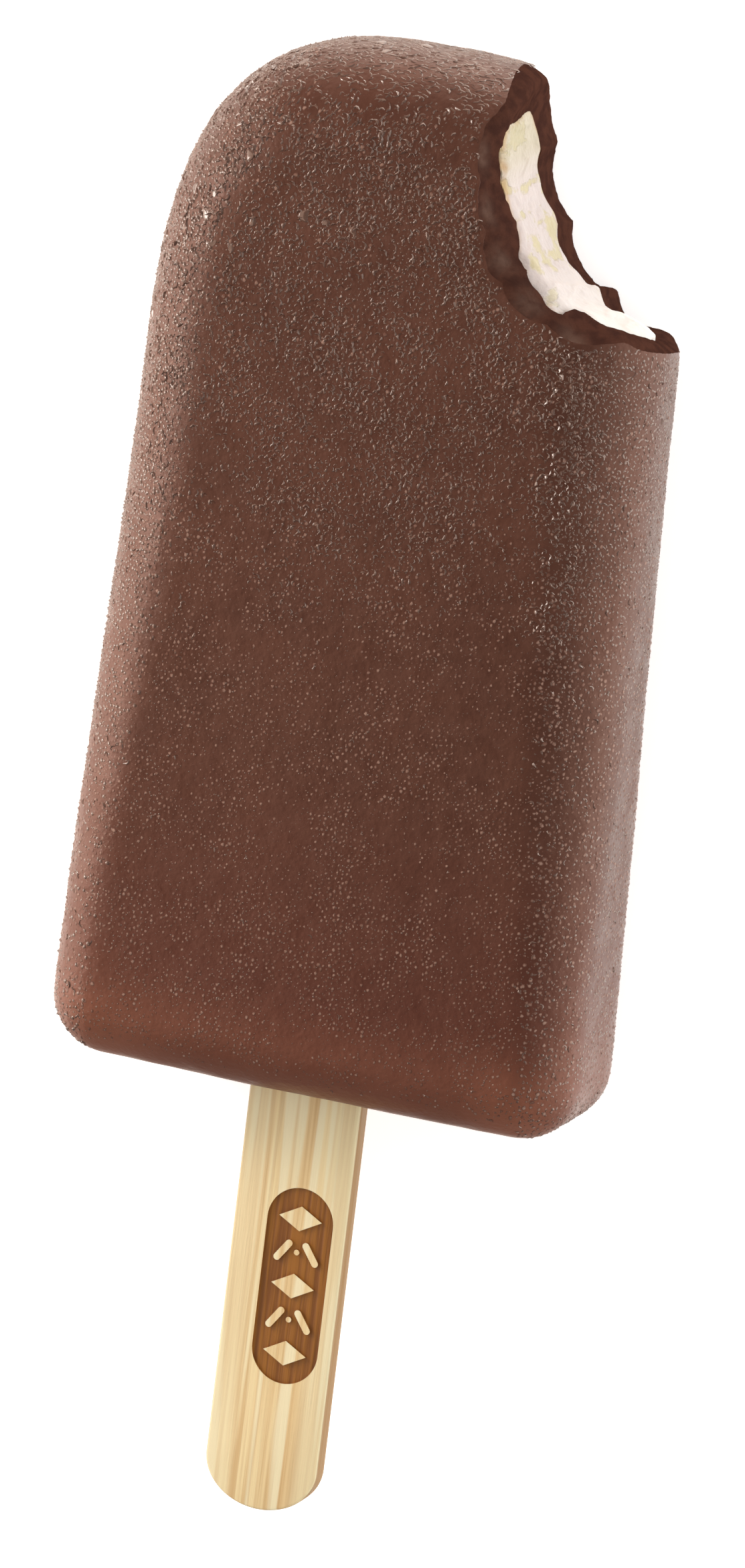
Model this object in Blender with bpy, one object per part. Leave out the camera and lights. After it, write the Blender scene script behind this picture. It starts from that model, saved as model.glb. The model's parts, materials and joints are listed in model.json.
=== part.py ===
"""Ice cream bar with one bite out of its top right corner, lying on its flat back.

A chocolate coating surrounds an ice cream core, and a flat wooden stick runs up into both.
The front face is up, and +Y points to the end away from the stick. The origin is under the
middle of the whole bar. Sizes are in millimetres, and turn to metres as the meshes are made.
"""

import math

import bmesh
import bpy

MM = 0.001
GAP = 0.3  # clearance between pieces that touch

# Outside of the bar
WIDTH = 48.0  # across its bottom end, where the sides would meet it
LENGTH = 90.9
DEPTH = 17.5
SIDE_TAPER = 0.014  # each side leans in by this much per mm of length
CORNER_RADIUS = 5.3  # the two bottom corners, seen from the front
SHOULDER_HEIGHT = 29.5  # the superelliptical part of the sides and top
SHOULDER_POWER = 2.85
EDGE_RADIUS = 8.2  # front and back edges along the sides and the top
BOTTOM_EDGE_RADIUS = 5.2  # the same edges along the bottom end
EDGE_BLEND = (4.0, 60.0)  # heights between which one edge radius turns into the other

COATING = 2.8  # thickness of the chocolate

# Wooden stick
STICK_LENGTH = 93.9
STICK_WIDTH = 10.2
STICK_THICKNESS = 2.0
STICK_OUT = 37.9  # length below the bar
STICK_OFFSET = -1.2  # the stick sits this far left of the bar's middle
STICK_END = 4.2  # height of its half-elliptical ends
STICK_CHAMFER = 0.25

# Bite: (height above mid-depth, centre x, centre y, radius) of the round cut at each level
BITE_LEVELS = (
    (-DEPTH / 2, 26.1, 86.4, 19.4),
    (DEPTH / 2 - COATING, 21.8, 85.1, 14.0),
    (DEPTH / 2, 20.1, 84.3, 13.7),
)
BITE_OVERRUN = 4.0  # how far the cutter goes past the front and back faces
TOOTH_MARKS = 18  # scallops in a full turn of the cut
TOOTH_DEPTH = 0.55
FIRST_CUSP = math.radians(185)

# Facets
CORNER_STEPS = 8
SHOULDER_STEPS = 22
EDGE_STEPS = 6
SCALLOP_STEPS = 6
STICK_END_STEPS = 16

MIDDLE_Y = (LENGTH - STICK_OUT) / 2


def smooth(edge0, edge1, value):
    share = min(max((value - edge0) / (edge1 - edge0), 0.0), 1.0)
    return share * share * (3 - 2 * share)


def ring_at(points, height):
    """The same points at one height above mid-depth, in the frame of the finished part."""
    return [(x, y - MIDDLE_Y, height + DEPTH / 2) for x, y in points]


def loft(name, rings):
    """A closed solid through rings that run anticlockwise, from the lowest to the highest."""
    mesh = bmesh.new()
    loops = [[mesh.verts.new([MM * value for value in point]) for point in ring] for ring in rings]
    for lower, upper in zip(loops, loops[1:]):
        for i, corner in enumerate(lower):
            after = (i + 1) % len(lower)
            mesh.faces.new((corner, lower[after], upper[after], upper[i]))
    mesh.faces.new(reversed(loops[0]))
    mesh.faces.new(loops[-1])
    data = bpy.data.meshes.new(name)
    mesh.to_mesh(data)
    mesh.free()
    part = bpy.data.objects.new(name, data)
    bpy.context.scene.collection.objects.link(part)
    return part


def bar_outline():
    """The bar seen from the front, anticlockwise from the middle of its bottom end."""
    half = WIDTH / 2
    lean = math.atan(SIDE_TAPER)
    corner_x = half - SIDE_TAPER * CORNER_RADIUS - CORNER_RADIUS / math.cos(lean)
    right = [(corner_x * share, 0.0) for share in (0.0, 0.35, 0.7)]
    for step in range(CORNER_STEPS + 1):
        angle = -math.pi / 2 + (lean + math.pi / 2) * step / CORNER_STEPS
        x = corner_x + CORNER_RADIUS * math.cos(angle)
        right.append((x, CORNER_RADIUS * (1 + math.sin(angle))))
    shoulder_y = LENGTH - SHOULDER_HEIGHT
    shoulder_x = half - SIDE_TAPER * shoulder_y
    for step in range(SHOULDER_STEPS + 1):
        angle = math.pi / 2 * step / SHOULDER_STEPS
        across = max(math.cos(angle), 0.0) ** (2 / SHOULDER_POWER)
        up = math.sin(angle) ** (2 / SHOULDER_POWER)
        x = across * (shoulder_x - SIDE_TAPER * SHOULDER_HEIGHT * up)
        right.append((x, shoulder_y + SHOULDER_HEIGHT * up))
    right[-1] = (0.0, LENGTH)
    left = [(-x, y) for x, y in right[-2:0:-1]]
    return right + left


def outward(points):
    """The unit normal at each point of an anticlockwise outline."""
    normals = []
    for i in range(len(points)):
        before = points[i - 1]
        after = points[(i + 1) % len(points)]
        dx = after[0] - before[0]
        dy = after[1] - before[1]
        size = math.hypot(dx, dy)
        normals.append((dy / size, -dx / size))
    return normals


def bar_solid(name, inset):
    """The bar with rounded front and back edges, all of it drawn in by the inset."""
    outline = bar_outline()
    normals = outward(outline)
    rings = []
    for side in (-1, 1):
        for step in range(EDGE_STEPS + 1):
            turn = math.pi / 2 * (step / EDGE_STEPS if side > 0 else 1 - step / EDGE_STEPS)
            ring = []
            for (x, y), (nx, ny) in zip(outline, normals):
                blend = smooth(*EDGE_BLEND, y)
                radius = BOTTOM_EDGE_RADIUS + (EDGE_RADIUS - BOTTOM_EDGE_RADIUS) * blend - inset
                inward = inset + radius * (1 - math.cos(turn))
                height = DEPTH / 2 - inset - radius * (1 - math.sin(turn))
                point = (x - nx * inward, y - ny * inward)
                ring += ring_at([point], side * height)
            rings.append(ring)
    return loft(name, rings)


def bite_cutter():
    """Scalloped circles that widen from the front of the bar to its back."""
    lowest, highest = BITE_LEVELS[0], BITE_LEVELS[-1]
    below = (lowest[0] - BITE_OVERRUN, *lowest[1:])
    above = (highest[0] + BITE_OVERRUN, *highest[1:])
    rings = []
    for height, centre_x, centre_y, radius in (below, *BITE_LEVELS, above):
        points = []
        for i in range(TOOTH_MARKS * SCALLOP_STEPS):
            scallop = math.sin(math.pi * (i % SCALLOP_STEPS) / SCALLOP_STEPS)
            reach = radius + TOOTH_DEPTH * (scallop - 0.5)
            angle = FIRST_CUSP + math.tau * i / (TOOTH_MARKS * SCALLOP_STEPS)
            points.append((centre_x + reach * math.cos(angle), centre_y + reach * math.sin(angle)))
        rings.append(ring_at(points, height))
    return as_cutter(loft("bite_cutter", rings))


def stick_solid(name, clearance, chamfer):
    """A flat stick with half-elliptical ends, larger all round by the clearance."""
    half = STICK_WIDTH / 2 + clearance
    thick = STICK_THICKNESS / 2 + clearance
    low = -STICK_OUT + STICK_END
    high = STICK_LENGTH - STICK_OUT - STICK_END
    rings = []
    for height, cut in ((-thick, chamfer), (-thick + chamfer, 0), (thick - chamfer, 0), (thick, chamfer)):
        points = []
        for centre_y, start in ((high, 0.0), (low, math.pi)):
            for step in range(STICK_END_STEPS + 1):
                angle = start + math.pi * step / STICK_END_STEPS
                x = STICK_OFFSET + (half - cut) * math.cos(angle)
                points.append((x, centre_y + (STICK_END + clearance - cut) * math.sin(angle)))
        rings.append(ring_at(points, height))
    return loft(name, rings)


def as_cutter(part):
    part.hide_render = True
    part.display_type = "WIRE"
    return part


def cut(part, cutter):
    modifier = part.modifiers.new("cut by " + cutter.name, "BOOLEAN")
    modifier.operation = "DIFFERENCE"
    modifier.solver = "EXACT"
    modifier.object = cutter


def finish(part, colour, roughness, sharp_from):
    material = bpy.data.materials.new(part.name)
    material.use_nodes = True
    shader = material.node_tree.nodes["Principled BSDF"]
    shader.inputs["Base Color"].default_value = (*colour, 1.0)
    shader.inputs["Roughness"].default_value = roughness
    shader.inputs["Metallic"].default_value = 0.0
    part.data.materials.append(material)
    part.data.shade_smooth()
    part.data.set_sharp_from_angle(angle=math.radians(sharp_from))


def main():
    for old in list(bpy.data.objects):
        bpy.data.objects.remove(old)

    bite = bite_cutter()
    cavity = as_cutter(bar_solid("cavity_cutter", COATING))
    stick_space = as_cutter(stick_solid("stick_cutter", GAP, STICK_CHAMFER))

    coating = bar_solid("chocolate_coating", 0.0)
    for cutter in (cavity, bite, stick_space):
        cut(coating, cutter)
    finish(coating, (0.147, 0.063, 0.045), 0.35, 40)

    core = bar_solid("ice_cream_core", COATING + GAP)
    for cutter in (bite, stick_space):
        cut(core, cutter)
    finish(core, (0.86, 0.77, 0.58), 0.5, 40)

    stick = stick_solid("stick", 0.0, STICK_CHAMFER)
    finish(stick, (0.83, 0.66, 0.4), 0.7, 30)


main()
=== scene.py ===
import json
import math

import bmesh
import bpy
import numpy as np
from mathutils import Matrix, Vector, noise
from mathutils.bvhtree import BVHTree

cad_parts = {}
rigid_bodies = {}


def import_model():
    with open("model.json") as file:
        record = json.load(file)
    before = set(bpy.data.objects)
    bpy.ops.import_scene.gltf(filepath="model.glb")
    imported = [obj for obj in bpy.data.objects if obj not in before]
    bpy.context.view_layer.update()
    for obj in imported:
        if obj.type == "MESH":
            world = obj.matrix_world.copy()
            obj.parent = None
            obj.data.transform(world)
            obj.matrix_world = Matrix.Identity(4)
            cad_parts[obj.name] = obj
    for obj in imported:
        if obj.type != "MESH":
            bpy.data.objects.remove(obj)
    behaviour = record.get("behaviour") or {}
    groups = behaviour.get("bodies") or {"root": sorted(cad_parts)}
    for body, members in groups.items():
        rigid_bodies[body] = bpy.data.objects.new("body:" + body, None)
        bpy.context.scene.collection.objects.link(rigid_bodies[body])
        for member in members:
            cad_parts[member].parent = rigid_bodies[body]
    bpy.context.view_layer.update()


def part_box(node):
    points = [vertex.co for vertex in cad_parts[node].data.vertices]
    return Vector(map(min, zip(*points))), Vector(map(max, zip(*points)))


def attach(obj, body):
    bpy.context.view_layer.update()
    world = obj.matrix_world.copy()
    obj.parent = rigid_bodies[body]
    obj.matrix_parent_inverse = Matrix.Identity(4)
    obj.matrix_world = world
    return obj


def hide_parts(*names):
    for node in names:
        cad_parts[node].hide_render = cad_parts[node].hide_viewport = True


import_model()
mm = 0.001

coatLow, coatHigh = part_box("chocolate_coating")
stickLow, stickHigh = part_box("stick")

# The bar's own shape, in mm, with x across, y up from its bottom end and z out of its front from mid-depth
bar = {
    "length": (coatHigh.y - coatLow.y) / mm,
    "depth": (coatHigh.z - coatLow.z) / mm,
    "boxWidth": (coatHigh.x - coatLow.x) / mm,
    "taper": 0.014,
    "cornerRadius": 5.3,
    "shoulderHeight": 29.5,
    "shoulderPower": 2.85,
    "edgeRadius": 8.2,
    "bottomEdgeRadius": 5.2,
    "edgeBlend": (4.0, 60.0),
    "coating": 2.8,
    "crown": 0.9,
}
halfDepth = bar["depth"] / 2


def smooth(low, high, value):
    share = np.clip((np.asarray(value, float) - low) / (high - low), 0.0, 1.0)
    return share * share * (3 - 2 * share)


def eased(knots, value):
    # smooth steps through a few (place, height) knots
    places, heights = np.array(knots, float).T
    value = np.clip(value, places[0], places[-1])
    slot = np.clip(np.searchsorted(places, value, side="right") - 1, 0, len(places) - 2)
    share = smooth(0.0, 1.0, (value - places[slot]) / (places[slot + 1] - places[slot]))
    return heights[slot] + (heights[slot + 1] - heights[slot]) * share


def toRow(points):
    placed = np.asarray(points, float) + (0.0, coatLow.y / mm, halfDepth)
    return placed * mm


def fromRow(points):
    return np.asarray(points, float) / mm - (0.0, coatLow.y / mm, halfDepth)


def newPiece(name, points, faces):
    data = bpy.data.meshes.new(name)
    data.from_pydata(toRow(points).tolist(), [], [list(map(int, face)) for face in faces])
    data.update()
    piece = bpy.data.objects.new(name, data)
    bpy.context.scene.collection.objects.link(piece)
    return piece


def joinRings(rings, capped=False):
    count = len(rings[0])
    faces = []
    for k in range(len(rings) - 1):
        for i in range(count):
            j = (i + 1) % count
            faces.append((k * count + i, k * count + j, (k + 1) * count + j, (k + 1) * count + i))
    if capped:
        last = (len(rings) - 1) * count
        faces += [tuple(range(count - 1, -1, -1)), tuple(range(last, last + count))]
    return np.concatenate(rings), faces


def mergeDoubles(piece, within=1e-7):
    mesh = bmesh.new()
    mesh.from_mesh(piece.data)
    bmesh.ops.remove_doubles(mesh, verts=mesh.verts, dist=within)
    bmesh.ops.dissolve_degenerate(mesh, edges=mesh.edges, dist=within)
    mesh.to_mesh(piece.data)
    mesh.free()


def bake(piece):
    bpy.context.view_layer.update()
    graph = bpy.context.evaluated_depsgraph_get()
    made = bpy.data.meshes.new_from_object(piece.evaluated_get(graph))
    piece.modifiers.clear()
    piece.data = made
    return piece


def carve(piece, *cutters):
    for cutter in cutters:
        modifier = piece.modifiers.new("carve", "BOOLEAN")
        modifier.operation = "DIFFERENCE"
        modifier.solver = "MANIFOLD"
        modifier.object = cutter
    return bake(piece)


def remove(*pieces):
    for piece in pieces:
        bpy.data.objects.remove(piece)


def points(piece):
    found = np.empty(len(piece.data.vertices) * 3)
    piece.data.vertices.foreach_get("co", found)
    return fromRow(found.reshape(-1, 3))


def normals(piece):
    return np.array([vertex.normal for vertex in piece.data.vertices])


def movePoints(piece, spots):
    piece.data.vertices.foreach_set("co", toRow(spots).ravel())
    piece.data.update()


def setField(piece, name, values):
    field = piece.data.attributes.new(name, "FLOAT", "POINT")
    field.data.foreach_set("value", np.clip(values, 0.0, None))


def bumpy(place, size, seed, octaves=1):
    # fractal noise between about -1 and 1, with features of the given size in mm
    shift = Vector((seed * 17.3, seed * 5.1, seed * 9.7))
    total, gain, scale = 0.0, 1.0, 1.0 / size
    for _ in range(octaves):
        total += gain * noise.noise(Vector(place) * scale + shift)
        gain *= 0.5
        scale *= 2.0
    return total


def bumpyAll(spots, size, seed, octaves=1):
    return np.array([bumpy(spot, size, seed, octaves) for spot in spots])


def outline(count):
    # even points round the bar, from the middle of its bottom end, with the way out at each
    lean = math.atan(bar["taper"])
    corner = bar["cornerRadius"]
    half = bar["boxWidth"] / 2 + bar["taper"] * corner + corner * (1 / math.cos(lean) - 1)
    cornerX = half - bar["taper"] * corner - corner / math.cos(lean)
    angles = np.linspace(-math.pi / 2, lean, 120)
    arc = np.stack([cornerX + corner * np.cos(angles), corner + corner * np.sin(angles)], 1)
    low = bar["length"] - bar["shoulderHeight"]
    wide = half - bar["taper"] * low
    angles = np.linspace(0, math.pi / 2, 1500)
    power = 2 / bar["shoulderPower"]
    up = np.sin(angles) ** power
    across = np.maximum(np.cos(angles), 0) ** power * (wide - bar["taper"] * bar["shoulderHeight"] * up)
    top = np.stack([across, low + bar["shoulderHeight"] * up], 1)
    top[-1] = (0.0, bar["length"])
    right = np.concatenate([[(0.0, 0.0)], arc, top])
    run = np.concatenate([[0], np.cumsum(np.hypot(*np.diff(right, axis=0).T))])
    even = np.linspace(0, run[-1], count + 1)
    right = np.stack([np.interp(even, run, right[:, 0]), np.interp(even, run, right[:, 1])], 1)
    left = right[-2:0:-1] * (-1, 1)
    ring = np.concatenate([right, left])
    along = np.roll(ring, -1, 0) - np.roll(ring, 1, 0)
    along /= np.linalg.norm(along, axis=1)[:, None]
    return ring, np.stack([along[:, 1], -along[:, 0]], 1)


def shell(name, inset, half, caps, edges, sides):
    # a closed bar, the given inset inside the real one, of rings from the back's spine to the front's
    ring, out = outline(half)
    blend = smooth(*bar["edgeBlend"], ring[:, 1])
    radius = bar["bottomEdgeRadius"] + (bar["edgeRadius"] - bar["bottomEdgeRadius"]) * blend - inset
    height = halfDepth - inset
    flat = ring - out * (inset + radius)[:, None]
    spine = np.stack([flat[:, 0] * 0, np.clip(flat[:, 1], 17.0, bar["length"] - 22.0)], 1)
    spine[0, 1] = spine[1, 1] = spine[-1, 1]

    def level(flatPoints, z):
        return np.column_stack([flatPoints, np.broadcast_to(z, len(flatPoints))])

    def edge(turn, side):
        pulled = ring - out * (inset + radius * (1 - math.cos(turn)))[:, None]
        return level(pulled, side * (height - radius * (1 - math.sin(turn))))

    rings = [level(spine + (flat - spine) * share, -height) for share in np.linspace(0, 1, caps + 1)[:-1]]
    rings += [edge(turn, -1) for turn in np.linspace(math.pi / 2, 0, edges + 1)]
    shares = np.linspace(-1, 1, sides + 1)[1:-1]
    rings += [level(ring - out * inset, (height - radius) * share) for share in shares]
    rings += [edge(turn, 1) for turn in np.linspace(0, math.pi / 2, edges + 1)]
    rings += [level(spine + (flat - spine) * share, height) for share in np.linspace(1, 0, caps + 1)[1:]]
    spots, faces = joinRings(rings)
    across = spots[:, 0] * 2 / bar["boxWidth"]
    spots[:, 2] *= 1 - bar["crown"] / halfDepth * np.where(spots[:, 2] > 0, across**2, 0.0)
    piece = newPiece(name, spots, faces)
    mergeDoubles(piece)
    return piece


def surfaceTree(piece):
    faces = [tuple(face.vertices) for face in piece.data.polygons]
    return BVHTree.FromPolygons(points(piece).tolist(), faces)


def inside(tree, place):
    # depth below the surface in mm, negative outside it
    near, normal, _, gap = tree.find_nearest(Vector(place))
    return gap if (Vector(place) - near).dot(normal) < 0 else -gap


# The bite: mean circles as (z, x, y, radius), a rounded outer lip, and tooth marks round them as
# (angle, how far off the circle its ridge stands, depth of the hollow after it)
bite = {
    "levels": ((-8.75, 26.1, 86.4, 19.4), (5.95, 21.8, 85.1, 14.0), (8.75, 20.1, 84.3, 13.4)),
    "frontTeeth": (
        (126, -0.25, 0.4), (148, -0.25, 0.4), (169, -0.2, 0.4), (190, -0.25, 0.5), (208, -0.3, 0.65),
        (226, -0.3, 0.65), (246, 0.15, 0.5), (265, 0.5, 0.4), (284, -0.25, 0.4), (304, -0.25, 0.4),
        (323, 0, 0),
    ),
    "backTeeth": (
        (127, -1.2, 0.6), (148, -1.2, 0.6), (168, -1.05, 0.6), (190, -1.0, 0.7), (212, -0.65, 0.25),
        (221, 0.4, 0.1), (230, 0.3, 0), (233, -0.75, 1.15), (249, -0.3, 0), (255, -0.85, 0),
        (262, -0.35, 0.1), (270, 0.3, 0.2), (284, -0.4, 0.7), (302, -0.4, 0.7), (322, 0, 0),
    ),
    "middleShare": 0.3,
    "lipDepth": 1.5,
    "lipRound": 0.9,  # how much of a quarter circle the lip follows
    "lipFull": 0.564,  # and how far that takes it, for a radius of one
    "frontLip": (
        (138, 0.2), (158, 0.7), (166, 1.0), (171, 0.8), (177, 0.3), (184, 0.05), (197, 0.05), (206, 0.55),
        (215, 0.9), (223, 1.5), (231, 1.64), (239, 1.26), (247, 1.04), (251, 0.9), (256, 0.77), (261, 0.7),
        (265, 0.72), (268, 0.91), (275, 1.13), (284, 1.35), (304, 1.3),
    ),
    "backLip": 0.35,
    "chip": 2.4,
    "chipDepth": 0.8,
    "overrun": 4.0,
    "grain": 0.2,
    "fineTurn": (138, 304),  # degrees round the circle that are in the bar, with room to spare
    "coarseTurn": (306, 496),
    "shapedTurn": (2.3, 5.4),  # radians between which the wall is shaped by the lip and the chip
}


def teeth(angle, marks):
    places, ridges, hollows = np.array(marks, float).T
    turn = np.clip(np.degrees(angle), places[0], places[-1])
    slot = np.clip(np.searchsorted(places, turn, side="right") - 1, 0, len(places) - 2)
    share = (turn - places[slot]) / (places[slot + 1] - places[slot])
    ridge = ridges[slot] + (ridges[slot + 1] - ridges[slot]) * share
    return ridge + hollows[slot] * 4 * share * (1 - share)


def biteCircle(z):
    table = np.array(bite["levels"])
    return [np.interp(z, table[:, 0], table[:, k]) for k in (1, 2, 3)]


def wallRadius(angle, z):
    front = smooth(4.0, 8.5, z)
    back = smooth(-1.5, -6.0, z)
    middle = bite["middleShare"] * (1 - front - back)
    atFront = (front + middle) * teeth(angle, bite["frontTeeth"])
    return biteCircle(z)[2] + atFront + (back + middle) * teeth(angle, bite["backTeeth"])


def lipWidth(angle, z):
    turn = np.degrees(angle)
    front = smooth(-2.0, 5.0, z)
    return bite["backLip"] * (1 - front) + eased(bite["frontLip"], turn) * front


def chipWidth(angle, z):
    # a thin flake is off the top face beside the bite
    return bite["chip"] * smooth(6.0, 1.0, z) * smooth(178, 168, np.degrees(angle))


def biteCutter(name, body, offset, solid=0.0):
    # within the solid height either way of mid-depth the wall lies inside the body
    fine = np.radians(np.arange(*bite["fineTurn"], math.degrees(bite["grain"] / 16)))
    coarse = np.radians(np.arange(*bite["coarseTurn"], 5))
    first, last = bite["shapedTurn"]
    angles = np.concatenate([fine, coarse])
    reach = bite["overrun"] + halfDepth
    levels = np.arange(-halfDepth - 0.6, halfDepth + 0.6, bite["grain"])
    tree = surfaceTree(body)
    rings = []
    for z in (-reach, *levels, reach):
        held = float(np.clip(z, -halfDepth, halfDepth))
        x0, y0, _ = biteCircle(held)
        radius = wallRadius(angles, held)
        ring = []
        for angle, far, lip, chip in zip(angles, radius, lipWidth(angles, held), chipWidth(angles, held)):
            place = Vector((x0 + far * math.cos(angle), y0 + far * math.sin(angle), z))
            if first < angle < last:
                depth = inside(tree, place)
                if abs(z) < solid:
                    depth = abs(depth)
                far += offset(angle, place, depth)
                share = min(max(1 - depth / bite["lipDepth"], 0.0), 1.0) * bite["lipRound"]
                far += lip * (1 - math.sqrt(1 - share * share)) / bite["lipFull"]
                far += chip * min(max(1 - depth / bite["chipDepth"], 0.0), 1.0) ** 2
            ring.append((x0 + far * math.cos(angle), y0 + far * math.sin(angle), z))
        rings.append(ring)
    return newPiece(name, *joinRings(rings, capped=True))


def biteAngle(spots):
    x0, y0, _ = biteCircle(spots[:, 2])
    return np.arctan2(spots[:, 1] - y0, spots[:, 0] - x0) % (2 * math.pi)


def biteGap(spots):
    # how far each spot stands off the bitten wall, in mm
    x, y, z = spots.T
    x0, y0, _ = biteCircle(z)
    angle = biteAngle(spots)
    edge = wallRadius(angle, z) + lipWidth(angle, z) + 0.45 * chipWidth(angle, z)
    first, last = bite["shapedTurn"]
    return np.hypot(x - x0, y - y0) - np.where((angle > first) & (angle < last), edge, 0.0)


# Where the ice cream shows in the bite: how far it reaches to the front and the back at each angle, against
# an even coating, and how far its top sinks at each height, in mm
showing = {
    "front": (
        (160, 1.9), (172, 1.6), (178, 1.25), (184, 1.12), (191, 1.09), (201, 0.97), (207, 1.04),
        (214, 1.05), (221, 1.25), (225, 1.36), (234, 1.3), (239, 1.38), (243.5, 1.43), (245, 1.05),
        (246.5, 0.95), (249, 1.15), (253, 1.38), (262, 1.38), (265, 1.2), (268, 0.8), (270, 0.3),
    ),
    "back": (
        (160, 0.78), (184, 0.75), (188, 0.7), (193, 0.64), (201, 0.77), (208, 0.87), (213, 0.73),
        (221, 0.76), (225, 0.87), (229, 0.85), (232, 0.75), (235, 0.8), (238, 0.7), (242, 0.7),
        (246, 0.6), (254, 0.6), (260, 0.6), (264, 0.55), (267, 0.3), (270, -0.1),
    ),
    "top": ((-6, 0.6), (-4, 0.5), (-1.5, 0.5), (1.0, 0.6), (2.4, 0.4), (4.0, -0.5), (6, -1.7)),
    "side": 1.0,
}


def dent(piece):
    # near the bite the body is thinned or swollen, so that the ice cream shows as wide as it should
    spots = points(piece)
    turn = np.degrees(biteAngle(spots))
    near = smooth(6.0, 1.0, biteGap(spots)) * smooth(140, 150, turn) * smooth(300, 285, turn)
    reach = np.where(spots[:, 2] > 0, eased(showing["front"], turn), eased(showing["back"], turn))
    moved = spots.copy()
    moved[:, 1] -= eased(showing["top"], spots[:, 2]) * smooth(82, 87, spots[:, 1]) * near
    moved[:, 2] *= 1 + (reach - 1) * near
    lowEnd = np.exp(-(((spots[:, 1] - 70) / 3.5) ** 2)) * smooth(15, 20, spots[:, 0])
    moved[:, 0] += showing["side"] * lowEnd * near * smooth(6.5, 3.0, np.abs(spots[:, 2]))
    push = 0.12 * bumpyAll(spots, 2.2, 3, 2) * smooth(55, 58, spots[:, 1])
    movePoints(piece, moved - normals(piece) * push[:, None])


def coatCut(angle, place, depth):
    # broken chocolate is ragged, most of all along its back rim
    ragged = 0.08 * bumpy(place, 0.9, 1, 2) + 0.10 * bumpy(place, 4.0, 2)
    rim = float(smooth(-5.5, -8.5, place.z))
    return ragged + rim * (0.16 * abs(bumpy(place, 0.8, 5, 2)))


# How the ice cream stands in the bite, in mm unless it says otherwise
melt = {
    "proud": 0.14,
    "tongueTurn": (253, 14.5),  # middle and half width of its melting tongue, in degrees round the bite
    "tongueLevel": (2, 7.5),  # and in height
    "bulge": 0.6,
    "sag": 0.35,  # how far it sinks back behind the front rim
    "end": 1.1,  # and past the tongue's end
    "grain": 0.07,
    "flake": 0.10,
}


def creamCut(angle, place, depth):
    turn = math.degrees(angle)
    middle, halfTurn = melt["tongueTurn"]
    level, halfHeight = melt["tongueLevel"]
    tongue = ((turn - middle) / halfTurn) ** 2 + ((place.z - level) / halfHeight) ** 4
    bulge = melt["bulge"] * math.exp(-0.9 * tongue * tongue) * float(smooth(4, -1, place.z))
    sag = melt["sag"] * float(smooth(2, 6, place.z) * smooth(247, 254, turn))
    past = melt["end"] * float(smooth(0.8, 1.1, tongue) * smooth(256, 262, turn))
    scraped = Vector((place.x * 1.2, place.y * 1.2, place.z * 0.45))
    flake = melt["flake"] * float(smooth(0.02, 0.14, bumpy(scraped, 1.9, 11, 2)))
    loose = float(smooth(0.0, 1.2, depth))
    return -melt["proud"] - bulge + sag + past + (melt["grain"] * bumpy(scraped, 1.3, 7, 3) - flake) * loose


def unevenness(piece):
    # a dipped coat is never quite even
    spots = points(piece)
    swell = 0.07 * bumpyAll(spots, 9.0, 21) + 0.035 * bumpyAll(spots, 2.6, 22, 2)
    moved = spots + normals(piece) * swell[:, None]
    moved[:, 2] = np.maximum(moved[:, 2], -halfDepth)  # its back lies flat
    movePoints(piece, moved)


coatShell = shell("chocolateCoating", 0.0, half=210, caps=20, edges=12, sides=6)
unevenness(coatShell)
cavity = shell("cavity", bar["coating"] + 0.35, half=300, caps=12, edges=8, sides=8)
core = shell("iceCreamCore", bar["coating"] - 0.05, half=300, caps=16, edges=10, sides=12)
dent(cavity)
dent(core)
coatBite = biteCutter("coatBite", coatShell, coatCut)
creamBite = biteCutter("creamBite", core, creamCut, solid=5.0)
coatCutTree = surfaceTree(coatBite)
coreTree = surfaceTree(core)
outerTree = surfaceTree(coatShell)
print("cutters made")


stick = {
    "width": (stickHigh.x - stickLow.x) / mm,
    "length": (stickHigh.y - stickLow.y) / mm,
    "thickness": (stickHigh.z - stickLow.z) / mm,
    "middle": (stickHigh.x + stickLow.x) / 2 / mm,
    "tip": (stickLow.y - coatLow.y) / mm,
    "endHeight": 4.2,
    "chamfer": 0.22,
    "along": 122,
    "round": 49,
}


def stickOutline(inset):
    half = stick["width"] / 2 - inset
    low = stick["tip"] + stick["endHeight"]
    high = stick["tip"] + stick["length"] - stick["endHeight"]
    spots = []
    for centre, side, levels in ((high, 1, (high, low)), (low, -1, (low, high))):
        for angle in np.linspace(0, math.pi, stick["round"]):
            x = stick["middle"] + side * half * math.cos(angle)
            spots.append((x, centre + side * (stick["endHeight"] - inset) * math.sin(angle)))
        for y in np.linspace(*levels, stick["along"])[1:-1]:
            spots.append((stick["middle"] - side * half, y))
    return np.array(spots)


def stickBody(name, clearance=0.0):
    half = stick["thickness"] / 2 + clearance
    cut = stick["chamfer"]
    rings = []
    for side, turns in ((-1, np.linspace(0, math.pi / 2, 5)), (1, np.linspace(math.pi / 2, 0, 5))):
        for angle in turns:
            flat = stickOutline(cut * (1 - math.sin(angle)) - clearance)
            height = side * (half - cut * (1 - math.cos(angle)))
            rings.append(np.column_stack([flat, np.full(len(flat), height)]))
    return newPiece(name, *joinRings(rings, capped=True))


# The mark burnt into the stick: a round-ended panel with raised lozenges, slanted bars and dots
stamp = {
    "middle": (-0.3, -17.7),
    "width": 6.0,
    "length": 17.4,
    "depth": 0.2,
    "pitch": 3.0,
    "lozenge": (3.9, 2.2),
    "bar": (2.3, 0.62),
    "spread": 1.25,  # from the middle line to the middle of each slanted bar
    "slant": 35,
    "dot": 0.5,
}


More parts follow.
